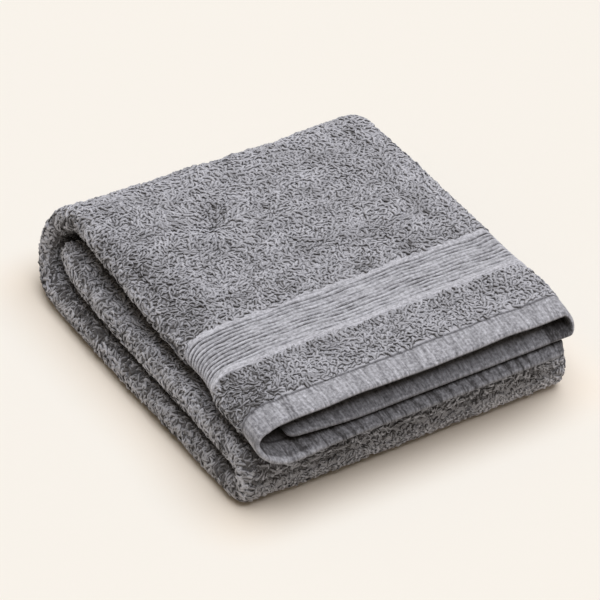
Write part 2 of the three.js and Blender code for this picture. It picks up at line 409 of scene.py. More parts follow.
def addValues(mesh, name, values):
    layer = mesh.attributes.new(name, "FLOAT", "POINT")
    layer.data.foreach_set("value", values.astype(np.float32))


# a slab with its own rows and columns, folded like the towel
def makeSheet(name, acrossList, alongList, halfAt, shades):
    bm = bmesh.new()
    bmesh.ops.create_grid(bm, x_segments=len(acrossList) - 1, y_segments=len(alongList) - 1, size=1)
    bmesh.ops.solidify(bm, geom=bm.faces[:], thickness=0.1)
    flat = np.array([v.co for v in bm.verts])
    side = np.where(flat[:, 2] > flat[:, 2].mean(), 1.0, -1.0)
    across, along = [stops[np.rint((flat[:, k] + 1) / 2 * (len(stops) - 1)).astype(int)]
                     for k, stops in enumerate((acrossList, alongList))]
    points, _, _, weft, warp = clothPoint(across, along, side, halfAt)
    points[:, 2] = np.maximum(points[:, 2], clothLook["floorGap"])
    uvLayer = bm.loops.layers.uv.new("flatCloth")
    for vert, point in zip(bm.verts, points):
        vert.co = point * mm
    bm.verts.index_update()
    for face in bm.faces:
        face.smooth = True
        for loop in face.loops:
            k = loop.vert.index
            loop[uvLayer].uv = (weft[k] * mm, warp[k] * mm)
    bmesh.ops.recalc_face_normals(bm, faces=bm.faces[:])
    mesh = bpy.data.meshes.new(name)
    bm.to_mesh(mesh)
    bm.free()
    # the groove attribute holds painted shade: in grooves, seams and pleats, on bends and folded-in faces,
    # under the lip; and the hem's dark notches
    addValues(mesh, "groove", shades(weft, warp, side, across, along))
    print(name, len(mesh.polygons), "faces")
    return addPiece(name, mesh)


# the hem: a doubled band over the front edge, finely pleated
hem = {
    "half": 1.25, "least": 0.62, "puff": 0.16, "rollRound": 1.5, "endThin": 0.3,
    "seamAt": 13.1, "seamDepth": 0.42, "seamWide": 0.5, "columns": 1080,
    "rows": (0.25, 0.7, 1.3, 2.2, 3.6, 5.4, 7.2, 9.0, 10.6, 11.8, 12.5, 13.1, 13.6, 14.0, 14.3),
    "pleatOut": 0.1, "pleatIn": 0.26, "pleatStart": 2.5,
    "pulls": (301.9, 303.9),  # drawn threads near the left end
    "pullSlant": 0.25, "pullDepth": 3.0, "pullWide": 0.45, "notchWide": 0.35,
    "seamShade": 0.7,  # painted shade in the seam and pleats, outside, inside high and inside low
    "pleatShades": (0.16, 0.05, 0.26),
    "innerHigh": (0.78, -0.2),  # painted shade on the folded-in faces: at the edge, and its change inwards
    "innerLow": (0.8, 0.08),
    "rimShades": (0.75, 0.3),  # less painted shade on the lit rim, most on the left bend
    "farShade": 0.1,  # less painted shade towards the right
    "creaseShade": 0.2,  # painted shade in the crease beside the right bend
    "creaseAt": (0.935, 0.006),
    # painted shade inside at the right end, outside on the left part and inside on the left curl; dark
    # notches along the rim, more at the drawn threads
    "rightShade": 0.28, "leftShade": 0.14, "notchShade": 0.4, "notchPull": 0.7, "curlShade": 0.2,
    "underShade": 0.42,  # painted shade on the outer face where it lies below
}


def pulledThreads(weft, warp, wide):
    return sum(hump(weft - at + hem["pullSlant"] * warp, 0, wide) for at in hem["pulls"])


def pleatShare(weft, warp, side):
    fine = slowWaves(weft + 0.18 * warp, warp * 0.12, pitch=3.4, seed=21, count=7)
    finer = slowWaves(weft + 0.1 * warp, warp * 0.1, pitch=1.9, seed=22, count=6)
    pleat = 0.6 * fine + 0.4 * finer
    pleat = np.where(pleat < 0, pleat * 1.5, pleat * 0.6)
    return pleat - hem["pullDepth"] * pulledThreads(weft, warp, hem["pullWide"]) * (side > 0)


def hemHalf(weft, warp, side):
    roll = roundOff(warp, hem["rollRound"], least=0.06)
    puff = hem["half"] + hem["puff"] * np.sin(np.clip(warp / hem["seamAt"], 0, 1) * math.pi)
    deep = np.where(side > 0, hem["pleatOut"], hem["pleatIn"])
    seam = hem["seamDepth"] * hump(warp, hem["seamAt"], hem["seamWide"])
    end = 1 - hem["endThin"] * ease(warp, fold["hem"] - 0.5, fold["hem"])
    begun = ease(warp, 0, hem["pleatStart"])
    half = (puff + deep * pleatShare(weft, warp, side) * begun) * roll * end - seam
    return np.maximum(half, hem["least"] * begun)


# painted shade on the hem's folded-in face, with less on the lit rim
def hemInnerShades(warp, across):
    low = ease(across, 3.2, 4.2)
    (high, highChange), (lower, lowChange) = hem["innerHigh"], hem["innerLow"]
    inner = mix(high + highChange * ease(warp, 3, 10), lower, low)
    onBend = plateau(across, 3.05, 3.3, 4.0, 4.16)
    rimEnd = mix(6.0, 3.6, ease(across, 3.5, 3.8))
    flatRim = mix(hem["rimShades"][0], 1.0, ease(warp, 0.2, 1.4))
    bendRim = mix(hem["rimShades"][1], 1.0, ease(warp, 1.5, rimEnd))
    inner = inner * mix(flatRim, bendRim, onBend)
    curl = plateau(across, 3.1, 3.5, 3.55, 3.8) * ease(warp, 1.5, 3)
    inner = inner + hem["curlShade"] * curl + lowChange * low * ease(warp, 2, 9)
    far = np.maximum(ease(across, 0.4, 0.85) * (across < 0.93), ease(across, 4.4, 4.95))
    inner = inner - hem["farShade"] * far + hem["creaseShade"] * hump(across, *hem["creaseAt"])
    return inner + hem["rightShade"] * ease(across, 0.9, 0.97) * (across < 2)


# painted shade of the hem: in the seam and pleats, where it lies below, on its left part and inside; with
# dark notches along the rim
def hemShades(weft, warp, side, across, along):
    outShade, highShade, lowShade = hem["pleatShades"]
    pleatShade = np.where(side > 0, outShade, mix(highShade, lowShade, ease(across, 3.2, 4.2)))
    pleats = np.clip(-pleatShare(weft, warp, side), 0, 2) * pleatShade
    notches = slowWaves(weft, warp * 0.3, pitch=2.0, seed=24, count=6)
    notches = np.clip(notches, 0, 1) * hump(warp, middle=0.9, wide=0.8)
    notches = notches + hem["notchPull"] * pulledThreads(weft, warp, hem["notchWide"]) * ease(warp, 0.5, 2)
    under = hem["underShade"] * np.maximum(1 - ease(across, 1.0, 1.4), ease(across, 3.6, 4.0))
    outer = hem["notchShade"] * notches + under + hem["leftShade"] * ease(across, 2.9, 3.1)
    seam = hem["seamShade"] * hump(warp, hem["seamAt"], 0.7)
    return np.clip(seam + pleats + np.where(side > 0, outer, hemInnerShades(warp, across)), 0, 1)


# one loop of pile: a half ring of yarn on its two feet
pile = {
    "pitch": 1.95,  # spacing of the loops on the flat cloth
    "jitter": 0.33, "edgeGap": 1.5, "floorGap": 0.03, "seed": 7,
    "underPitch": 3.6,  # fewer underneath
    "sidePitch": 2.2,  # the pile opens on the left bends
    "flapTo": 0.9,  # the flap is folded in, up to its bend
    "span": 3.2, "height": 1.0, "yarn": 0.92, "yarnFlat": 0.35,
    "sides": 4, "steps": 4, "lean": 0.8, "curve": 1.0,
    "foot": 0.44,  # how deep the feet sit in the ground
    "probe": 1.4,  # openness is felt from this height,
    "reach": 45.0,  # and a free way of this length counts as open, mm
    "shownFrom": 0.07,  # more hidden places get no loop
    "noseGap": 0.0025,  # none stands in the front crease
    "curlZone": (3.05, 3.95),  # across, the left bends
    "frontZone": (3.1, 3.95),  # along, the front bend
    "rowsFrom": 2.07,  # where the front bend's loops lie in rows
    "uprightStrip": 6.0,  # loops stand square to the border, mm
    "star": (-21.8, 46.5, 15.0),  # the loops point to the dimple: place and reach
}


def makeLoopShape():
    bm = bmesh.new()
    ring = bmesh.ops.create_circle(bm, cap_ends=False, segments=pile["sides"], radius=1)
    bmesh.ops.scale(bm, verts=ring["verts"], vec=(pile["yarnFlat"], 1, 1))
    bmesh.ops.translate(bm, verts=ring["verts"], vec=(-1, 0, 0))
    bmesh.ops.spin(bm, geom=bm.verts[:] + bm.edges[:], cent=(0, 0, 0), axis=(0, 1, 0), dvec=(0, 0, 0),
                   angle=math.pi, steps=pile["steps"], use_merge=False)
    bmesh.ops.holes_fill(bm, edges=[e for e in bm.edges if e.is_boundary], sides=pile["sides"])
    bmesh.ops.recalc_face_normals(bm, faces=bm.faces[:])
    bmesh.ops.triangulate(bm, faces=bm.faces[:])
    bm.verts.index_update()
    points = np.array([v.co for v in bm.verts])
    faces = np.array([[v.index for v in f.verts] for f in bm.faces])
    bm.free()
    return points, faces


# how much of the way out is free, around each axis
def openShare(points, normals, axes, tree, tilts):
    others = np.cross(normals, axes)
    free = np.zeros(len(points))
    rays = [(0.0, 0.0)] + [(math.radians(t), k * math.pi / 4) for t in tilts for k in range(8)]
    ways = [(math.sin(t) * math.cos(a), math.sin(t) * math.sin(a), math.cos(t)) for t, a in rays]
    whole = sum(way[2] for way in ways)
    for k in range(len(points)):
        start = Vector(points[k] * mm)
        n, a, b = normals[k], axes[k], others[k]
        for x, y, z in ways:
            if tree.ray_cast(start, Vector(n * z + a * x + b * y), pile["reach"] * mm)[0] is None:
                free[k] += z / whole
    return free


# how much longer the warp is here than on the mean layer
def warpStretch(across, along, step=0.02):
    before, after = np.maximum(along - step, 0), np.minimum(along + step, 5)
    real = np.linalg.norm(foldPoint(across, after) - foldPoint(across, before), axis=-1)
    return real / (np.interp(after, alongScale, warpScale) - np.interp(before, alongScale, warpScale))


# places on the flat cloth: one set for all, and a second to fill the outer bends
def flatPlaces(draw):
    pitch = pile["pitch"]
    columns, rows = int(clothWidth / pitch), int(clothLength / pitch)
    weft, warp = np.meshgrid((np.arange(columns) + 0.5) * pitch, (np.arange(rows) + 0.5) * pitch)
    weft[1::2] += pitch / 2
    weft, warp = weft.ravel(), warp.ravel()
    weft = np.concatenate([weft, weft + pitch / 4])
    warp = np.concatenate([warp, warp + pitch / 2])
    second = np.arange(len(weft)) >= len(weft) / 2
    jitter = pile["jitter"]
    weft, warp = [way + draw.uniform(-jitter, jitter, len(way)) * pitch for way in (weft, warp)]
    inTerry = (warp > fold["hem"] + 0.5) & (warp < clothLength - 1.2)
    inTerry &= (warp < fold["borderStart"] - 0.4) | (warp > fold["borderEnd"] + 0.4)
    inTerry &= (weft > pile["edgeGap"]) & (weft < clothWidth - pile["edgeGap"])
    return weft[inTerry], warp[inTerry], second[inTerry]


def pilePlaces(tree):
    draw = np.random.default_rng(pile["seed"])
    weft, warp, second = flatPlaces(draw)
    across = np.interp(weft, weftScale, acrossScale)
    along = np.interp(warp, warpScale, alongScale)
    along = np.where(warp < fold["frontPart"], warp / panelLong, along)
    outside = across > pile["flapTo"]
    front = within(along, *pile["frontZone"]) & within(across, 2.0, 3.02)  # finer pile on the front bend
    under = within(along, 1.9, 3.06) & within(across, 2.06, 3.0)
    bend = within(across, 3.0, 4.0) & (along > 1.0)
    thinned = ((second, warpStretch(across, along) - 1 + front),
               (under, (pile["pitch"] / pile["underPitch"]) ** 2),
               (bend, (pile["pitch"] / pile["sidePitch"]) ** 2))
    for chosen, share in thinned:
        outside &= ~chosen | (draw.uniform(0, 1, len(along)) < share)
    across, along = across[outside], along[outside]
    sheet = clothPoint(across, along, np.ones(len(across)), lambda *flat: clothLook["groundHalf"])
    at = dict(zip(sheetKeys, sheet), along=along, across=across)
    probes = at["points"] + at["normal"] * pile["probe"]
    shown = openShare(probes, at["normal"], at["axis"], tree, tilts=(52,))
    keep = (shown > pile["shownFrom"]) & (np.abs(along - clothLook["noseAt"]) > pile["noseGap"])
    print("pile places", int(keep.sum()), "of", len(keep))
    at = {key: values[keep] for key, values in at.items()}
    up, east = [np.tile(way, (len(at["points"]), 1)) for way in ((0.0, 0.0, 1.0), (1.0, 0.0, 0.0))]
    # open sky above each place, for the painted shade of the loops
    at["above"] = openShare(probes[keep], up, east, tree, tilts=(25, 52))
    at["resting"] = within(at["along"], 1.96, 3.04) & (at["normal"][:, 2] < -0.9)
    return at


# parts where the loops lie or catch the light in their own way
def pileZones(at):
    across, along, warp, nose = at["across"], at["along"], at["warp"], clothLook["noseAt"]
    frontStart, frontEnd = pile["frontZone"]
    curl = within(across, *pile["curlZone"])
    upright = within(along, frontStart, nose) & ~curl
    upright |= within(warp, fold["borderStart"] - pile["uprightStrip"], fold["borderStart"])
    front = within(along, frontStart, frontEnd) & (across > 2.0) & ~curl
    return {
        "curl": curl, "sideCurl": curl & (along > 1), "upright": upright,
        "front": front, "frontUpright": front & upright,
        "rows": within(along, nose, frontEnd) & (across > pile["rowsFrom"]) & ~curl,
        "rightBend": within(across, 1.0, 2.0),
    }


# how the loops lie: height, pitch and seed of the waves, and scatter in radians
pileLie = {
    "leanA": (0.8, 30, 51, 0.5), "leanB": (0.8, 26, 52, 0.5),
    "turn": (1.7, 24, 54, 0.55), "rowTurn": (0.6, 12, 54, 0.5),
    "curlScatter": 0.8, "uprightScatter": 0.5,
    "flatter": 0.5,  # lean where the towel rests and on the right bend
}


# which way each loop lies, and how it leans
def loopTurns(at, zone, draw):
    look, count = pileLie, len(at["weft"])

    def wavy(key):
        *wave, scatter = look[key]
        return waveOf(wave, at["weft"], at["warp"]) + draw.normal(0, scatter, count)

    leanA, leanB, turn = [wavy(key) for key in ("leanA", "leanB", "turn")]
    starX, starY, starReach = pile["star"]
    toStar = at["points"] - np.array((starX, starY, 0.0))
    near = hump(np.hypot(toStar[:, 0], toStar[:, 1]), 0, starReach) * (at["along"] < 1)
    other = np.cross(at["normal"], at["axis"])
    pointing = np.arctan2((toStar * other).sum(1), (toStar * at["axis"]).sum(1)) - turn
    turn = turn + near * (pointing - math.pi * np.rint(pointing / math.pi))
    turn = np.where(zone["curl"], draw.normal(0, look["curlScatter"], count), turn)
    turn = np.where(zone["upright"], math.pi / 2 + draw.normal(0, look["uprightScatter"], count), turn)
    return np.where(zone["rows"], wavy("rowTurn"), turn), leanA, leanB


# sizes of the loops beside the usual one
pileSize = {
    "scatter": 0.16, "range": (0.65, 1.5),
    "sideAt": (1.0, 1.3, 2.2, 2.7),  # along the left bends
    "side": (1.0, 1.1, 1.1, 1.18),
    "front": (0.62, 0.72),  # below the front crease, and above it
    "riseScatter": 0.17, "riseClump": 0.08, "riseRange": (0.6, 1.5),
    "resting": 0.62, "rightBend": 0.8,
    "yarnSide": 1.1, "yarnSideFrom": 2.4, "yarnFront": (0.8, 0.86),
}


# half span, rise, sideways curve and yarn of each loop
def loopSizes(at, zone, clump, draw):
    look, along, count = pileSize, at["along"], len(at["along"])
    size = np.clip(draw.normal(1.0, look["scatter"], count), *look["range"])
    places = [zone["sideCurl"], zone["frontUpright"], zone["front"]]
    sideSize = np.interp(along, look["sideAt"], look["side"])
    size = size * np.select(places, [sideSize, *look["front"]], 1.0)
    rise = draw.normal(1.0, look["riseScatter"], count) + look["riseClump"] * clump
    rise = pile["height"] * np.clip(rise, *look["riseRange"])
    rise = rise * np.select([at["resting"], zone["rightBend"]], [look["resting"], look["rightBend"]], 1.0)
    curve = draw.normal(0, pile["curve"], count)
    places[0] = zone["curl"] & (along > look["yarnSideFrom"])
    yarn = np.select(places, [look["yarnSide"], *look["yarnFront"]], 1.0)
    return pile["span"] / 2 * size, rise, curve, pile["yarn"] * yarn


# lightness of the loops and of the back of their yarn: their own tone, with painted shade and painted
# highlights
pileToneAndShade = {
    "middle": 0.23, "scatter": 0.23,
    "wilder": (1.9, 1.7),  # on the left bends, and in the front rows
    "patches": (0.16, 24, 53), "clumps": 0.12,
    "highlightGain": 0.88, "highlightWave": (0.25, 20, 56), "highlightRange": (0.45, 1.15), "highlightFront": 0.75,
    "weakHighlightLift": 0.5,  # where the painted highlight is weaker, the loops are lighter
    "narrow": (1.3, 0.3),  # the light on the yarn is narrower at the left edge,
    "narrower": (1.75, 1.6),  # on the left bends and the front
    "deepFrom": 0.78,  # places with less open sky than this get painted shade
    "deep": 2.6, "deepFront": 0.25, "narrowGain": 0.12,
    "rim": (3.2, 0.75, 0.55, 0.07),  # painted highlight on the edge of the back bend's curl: place, slope, light, width
    # painted shade on the left bends: of the back, the tucked end and the front
    "backCurl": (0.28, 0.68, 0.9),  # upper part, lower part, lowest end
    "tuckCurl": (0.14, 0.02, 0.06),
    "frontCurl": (0.48, 0.28, 0.12),  # all, then lighter in the middle and above
    "nook": 0.62,  # painted shadow under the hem, beside the left bend
    # painted shade in the narrow creases, then darker towards the front of the top and all over it
    "crease": 0.38, "nearBorder": 0.11, "top": 0.07,
    "leftEdge": (0.68, 0.6),  # painted shade on the top's left edge, and how much of it goes towards the back
    # painted shade in dents of the top: x, y, reach, darkness
    "dentShades": ((72, 58, 9, 0.3), (-27, 23, 5, 0.4), (24, 14, 7, 0.3), (75, -1, 5, 0.3), (-13, -12, 6, 0.25)),
    "backEdge": 0.2,  # painted highlight where the outline catches light
    # painted highlight on the top's right edge, painted shade at the strip's left end, painted light on the
    # front bend's right part, painted shadow under the hem's lip
    "rightEdge": 0.25, "stripLeft": 0.24, "frontRight": 0.5, "underLip": 0.65,
    "row": 0.8, "rowAt": (3.45, 0.016),  # painted shade in a row along the front bend
    "noseWide": 0.035,  # and painted shade in the crease
    "range": (-1.4, 1.0),
}


# painted shade on the left bends: of the tucked end, the front and the back, with a painted highlight on the
# back bend's rim
def curlShades(at, curl):
    look, across, along = pileToneAndShade, at["across"], at["along"]
    upper, lower, end = look["tuckCurl"]
    tuck = mix(upper, lower, ease(across, 3.4, 3.55)) + end * ease(along, 4.6, 4.8)
    whole, middle, upper = look["frontCurl"]
    front = whole - middle * ease(along, 2.9, 3.2) * (along < 3.6) - upper * (1 - ease(across, 3.35, 3.6))
    place, slope, light, wide = look["rim"]
    rim = place + slope * np.clip(along - 1, 0, 0.6)
    upper, lower, end = look["backCurl"]
    upper, lower = upper * ease(along, 1.0, 1.2), lower + end * ease(along, 1.5, 1.75)
    back = mix(upper, lower, ease(across, rim, rim + 0.2)) - light * hump(across, rim, wide)
    parts = [curl & (along > start) for start in (3.9, 2.5, 1.0)]
    return np.select(parts, [tuck, front, back], 0.0)


# painted shade on the top panel: its left edge, the strip's left end, narrow creases and dents, with a
# painted highlight on its right edge; also darker towards the front and all over
def topShades(at):
    look, across, along, points = pileToneAndShade, at["across"], at["along"], at["points"]
    leftEdge, lost = look["leftEdge"]
    edge = ease(across, 2.86, 3.12) * (1 - 0.75 * ease(across, 3.25, 3.4))
    shade = leftEdge * edge * (1 - lost * ease(along, 0.8, 0.95))
    shade = shade + look["nearBorder"] * (1 - ease(at["warp"], 90, 125)) + look["top"]
    for x, y, reach, depth in look["dentShades"]:
        shade = shade + depth * hump(np.hypot(points[:, 0] - x, points[:, 1] - y), 0, reach)
    shade = shade - look["rightEdge"] * (1 - ease(across, 2.02, 2.08)) * (across > 1.6)
    shade = shade - look["crease"] * creaseRise(points, along, widest=3.0)
    shade = shade + look["stripLeft"] * ease(across, 2.7, 2.9) * (along < 0.28)
    return shade * (along < 1)


# tone of each loop: own scatter, patches and clumps, with painted shade from the open sky, bends, top, nook
# and front bend, and painted highlights on the back edge and the front bend's right part
def loopToneAndShade(at, zone, clump, highlightGain, draw):
    look, across, along, x = pileToneAndShade, at["across"], at["along"], at["points"][:, 0]
    wild = np.select([zone["sideCurl"], zone["rows"]], look["wilder"], 1.0)
    tone = look["middle"] + draw.normal(0, look["scatter"], len(along)) * wild
    tone = tone + waveOf(look["patches"], at["weft"], at["warp"]) + look["clumps"] * clump
    tone = tone + look["weakHighlightLift"] * (look["highlightGain"] - highlightGain)
    deep = np.where((along > 2.9) & ~zone["curl"], look["deepFront"], look["deep"])
    tone = tone - deep * np.clip(look["deepFrom"] - at["above"], 0, look["deepFrom"])
    tone = tone - curlShades(at, zone["curl"]) - topShades(at)
    tone = tone - look["nook"] * ease(along, 3.75, 3.9) * (1 - ease(across, 3.14, 3.34))
    backEdge = plateau(along, 0.98, 1.06, 1.25, 1.4) * (across < 3.1)
    front = look["frontRight"] * ease(x, 0, 60) - look["underLip"] * ease(along, 3.51, 3.6)
    front = front - look["row"] * hump(along, *look["rowAt"]) * ease(x, -40, 0)
    front = front - hump(along, clothLook["noseAt"], look["noseWide"])
    return np.clip(tone + look["backEdge"] * backEdge + front * zone["front"], *look["range"])


# painted highlight on the back of the yarn, and painted shade at its feet and sides, for every point
def loopCrests(template, at, zone, highlightGain):
    look = pileToneAndShade
    ridge = np.interp(np.hypot(template[:, 0], template[:, 2]), (0.65, 1.0, 1.33), (0.0, 0.08, 1.0))
    crestHighlight = np.clip(template[:, 2], 0.0, 1.0) ** 0.6 * ridge
    narrow = look["narrow"][0] + look["narrow"][1] * ease(at["across"], 2.86, 3.12)
    narrow = np.select([zone["sideCurl"], zone["front"]], look["narrower"], narrow)
    return crestHighlight[None] ** narrow[:, None] * (highlightGain + look["narrowGain"] * (narrow > 1.5))[:, None]


# places of all points: each copy has its own axis and normal
def placeCopies(points, axis, normal, x, y, z):
    other = np.cross(normal, axis)
    verts = points[:, None] + x[..., None] * axis[:, None]
    return verts + y[..., None] * other[:, None] + z[..., None] * normal[:, None]


# one mesh of all the copies
def meshOfCopies(name, verts, faces):
    copies, size = verts.shape[:2]
    allFaces = (faces[None] + (np.arange(copies) * size)[:, None, None]).reshape(-1, 3)
    mesh = bpy.data.meshes.new(name)
    mesh.from_pydata((verts.reshape(-1, 3) * mm).tolist(), [], allFaces.tolist())
    mesh.polygons.foreach_set("use_smooth", np.ones(len(allFaces), bool))
    print(name, copies, "loops,", len(allFaces), "triangles")
    return mesh


def makePile(name, at, shape, draw):
    template, faces = shape
    points, axis, normal, weft, warp = [at[key] for key in sheetKeys]
    zone = pileZones(at)
    clump = slowWaves(weft, warp, pitch=7.5, seed=55, count=7)
    turn, leanA, leanB = loopTurns(at, zone, draw)
    span, rise, curve, yarn = loopSizes(at, zone, clump, draw)
    x = template[None, :, 0] * span[:, None]
    y = template[None, :, 1] * yarn[:, None] + curve[:, None] * (1 - template[None, :, 0] ** 2)
    z = template[None, :, 2] * rise[:, None] - pile["foot"]
    cosT, sinT = np.cos(turn)[:, None], np.sin(turn)[:, None]
    stand = np.clip(template[None, :, 2], 0, None) * pile["lean"]
    flat = np.where(at["resting"] | zone["rightBend"], pileLie["flatter"], 1.0)[:, None]
    a = x * cosT - y * sinT + stand * leanA[:, None] * flat
    b = x * sinT + y * cosT + stand * leanB[:, None] * flat
    verts = placeCopies(points, axis, normal, a, b, z)
    verts[..., 2] = np.maximum(verts[..., 2], pile["floorGap"])
    mesh = meshOfCopies(name, verts, faces)
    highlightGain = np.clip(pileToneAndShade["highlightGain"] + waveOf(pileToneAndShade["highlightWave"], weft, warp), *pileToneAndShade["highlightRange"])
    highlightGain = highlightGain * np.where(zone["frontUpright"], pileToneAndShade["highlightFront"], 1.0)
    addValues(mesh, "crestHighlight", loopCrests(template, at, zone, highlightGain).ravel())
    addValues(mesh, "tone", np.repeat(loopToneAndShade(at, zone, clump, highlightGain, draw), len(template)))
    return addPiece(name, mesh)


# stitches along the hem's seam
stitch = {"pitch": 2.6, "length": 2.0, "rise": 0.34, "sink": 0.1, "yarn": 0.2}


def makeStitches(shape):
    template, faces = shape
    weft = (np.arange(int(clothWidth / stitch["pitch"])) + 0.5) * stitch["pitch"]
    across = np.interp(weft, weftScale, acrossScale)
    across = across[across > 1.0]
    along = np.full(len(across), hem["seamAt"] / panelLong)
    points, axis, normal = clothPoint(across, along, np.ones(len(across)), hemHalf)[:3]
    x, y, z = template.T[:, None]
    x, y, z = x * stitch["length"] / 2, y * stitch["yarn"], z * stitch["rise"] - stitch["sink"]
    verts = placeCopies(points, axis, normal, x, y, z)
    return addPiece("hemStitches", meshOfCopies("hemStitches", verts, faces))


# materials
finish = {
    # the yarn's colour from painted deep shade through painted shade to painted light; the loops' own tone
    # also moves along it
    "yarnDeepShade": (0.115, 0.112, 0.118), "yarnShade": (0.275, 0.277, 0.303), "yarnLit": (0.606, 0.613, 0.671),
    "ground": (0.58, 0.583, 0.635),
    "woven": (0.27, 0.271, 0.301), "wovenLight": (0.778, 0.788, 0.863),
    "groove": (0.104, 0.098, 0.097),  # share of light left where shade is painted: in grooves, seams, pleats, on bends and folded-in faces
    "thread": (0.16, 0.156, 0.168),
    "pileLight": (-0.19, 0.76, 0.55, 0.3),  # painted light on the loops: base, and strength of crest highlight, tone and fibre
    "wovenTone": (-1.64, 2.2, 1.8, 0.12, 0.28),  # base, and strength of specks, streaks, weave and border
    "threads": (0.72, 0.66),  # fine plain weave in mm: along the weft and the warp
    "deepEnd": 0.12, "roughness": 0.92, "sheen": 0.15,
    "floor": (0.925, 0.897, 0.84),
    "floorShadowTint": (0.97, 0.89, 0.79),  # painted warm shadow tint beside the towel
    "floorShadowTintFrom": (0.09, 0.1, 0.0), "floorShadowTintWide": 0.035,
}


def newMaterial(name):
    material = bpy.data.materials.new(name)
    material.use_nodes = True
    tree = material.node_tree
    shader = tree.nodes["Principled BSDF"]
    shader.inputs["Roughness"].default_value = finish["roughness"]
    shader.inputs["Specular IOR Level"].default_value = 0.2
    return material, tree, shader


def addNode(tree, kind, **values):
    node = tree.nodes.new(kind)
    for key, value in values.items():
        if hasattr(node, key):
            setattr(node, key, value)
        else:
            node.inputs[key].default_value = value
    return node


# a number, a colour or another node's output
def feed(tree, socket, value):
    if isinstance(value, (int, float)):
        socket.default_value = value
    elif isinstance(value, tuple):
        socket.default_value = (*value, 1.0)
    else:
        tree.links.new(value, socket)


def addMath(tree, operation, *values):
    node = addNode(tree, "ShaderNodeMath", operation=operation)
    for socket, value in zip(node.inputs, values):
        feed(tree, socket, value)
    return node.outputs[0]


# sum of parts, each by its strength
def addParts(tree, total, strengths, parts):
    for strength, part in zip(strengths, parts):
        total = addMath(tree, "MULTIPLY_ADD", part, strength, total)
    return total


def addMix(tree, share, first, second, blend="MIX"):
    node = addNode(tree, "ShaderNodeMix", data_type="RGBA", blend_type=blend)
    for k, value in ((0, share), (6, first), (7, second)):
        feed(tree, node.inputs[k], value)
    return node.outputs[2]


def addNoise(tree, place, **values):
    noise = addNode(tree, "ShaderNodeTexNoise", **values)
    tree.links.new(place, noise.inputs["Vector"])
    return noise.outputs["Fac"]


def addBump(tree, shader, height, strength, distance):
    bump = addNode(tree, "ShaderNodeBump", Strength=strength, Distance=distance)
    tree.links.new(height, bump.inputs["Height"])
    tree.links.new(bump.outputs["Normal"], shader.inputs["Normal"])
    shader.inputs["Sheen Weight"].default_value = finish["sheen"]
    shader.inputs["Sheen Roughness"].default_value = 0.5


def pileMaterial():
    material, tree, shader = newMaterial("terryPile")
    crestHighlight, tone = [addNode(tree, "ShaderNodeAttribute", attribute_name=name).outputs["Fac"]
                   for name in ("crestHighlight", "tone")]
    place = addNode(tree, "ShaderNodeTexCoord").outputs["Object"]
    fibre = addNoise(tree, place, Scale=700.0, Detail=2.0, Roughness=0.6)
    # lightness runs from painted deep shade to painted highlight
    base, *strengths = finish["pileLight"]
    light = addParts(tree, base, strengths, (crestHighlight, tone, fibre))
    ramp = addNode(tree, "ShaderNodeValToRGB")
    stops = ramp.color_ramp.elements
    stops[0].color, stops[1].color = (*finish["yarnDeepShade"], 1.0), (*finish["yarnLit"], 1.0)
    stops.new(finish["deepEnd"]).color = (*finish["yarnShade"], 1.0)
    tree.links.new(light, ramp.inputs[0])
    tree.links.new(ramp.outputs["Color"], shader.inputs["Base Color"])
    addBump(tree, shader, fibre, strength=0.5, distance=0.00012)
    return material


# noise drawn out along the weft or warp: scale in the hem, and its change in the border
def stretchedNoise(tree, weft, warp, inBorder, weftScales, warpScales, **values):
    stretch = addNode(tree, "ShaderNodeCombineXYZ")
    for k, (way, (inHem, change)) in enumerate(((weft, weftScales), (warp, warpScales))):
        scale = addMath(tree, "MULTIPLY_ADD", inBorder, change, inHem)
        tree.links.new(addMath(tree, "MULTIPLY", way, scale), stretch.inputs[k])
    return addNoise(tree, stretch.outputs[0], Scale=1.0, **values)


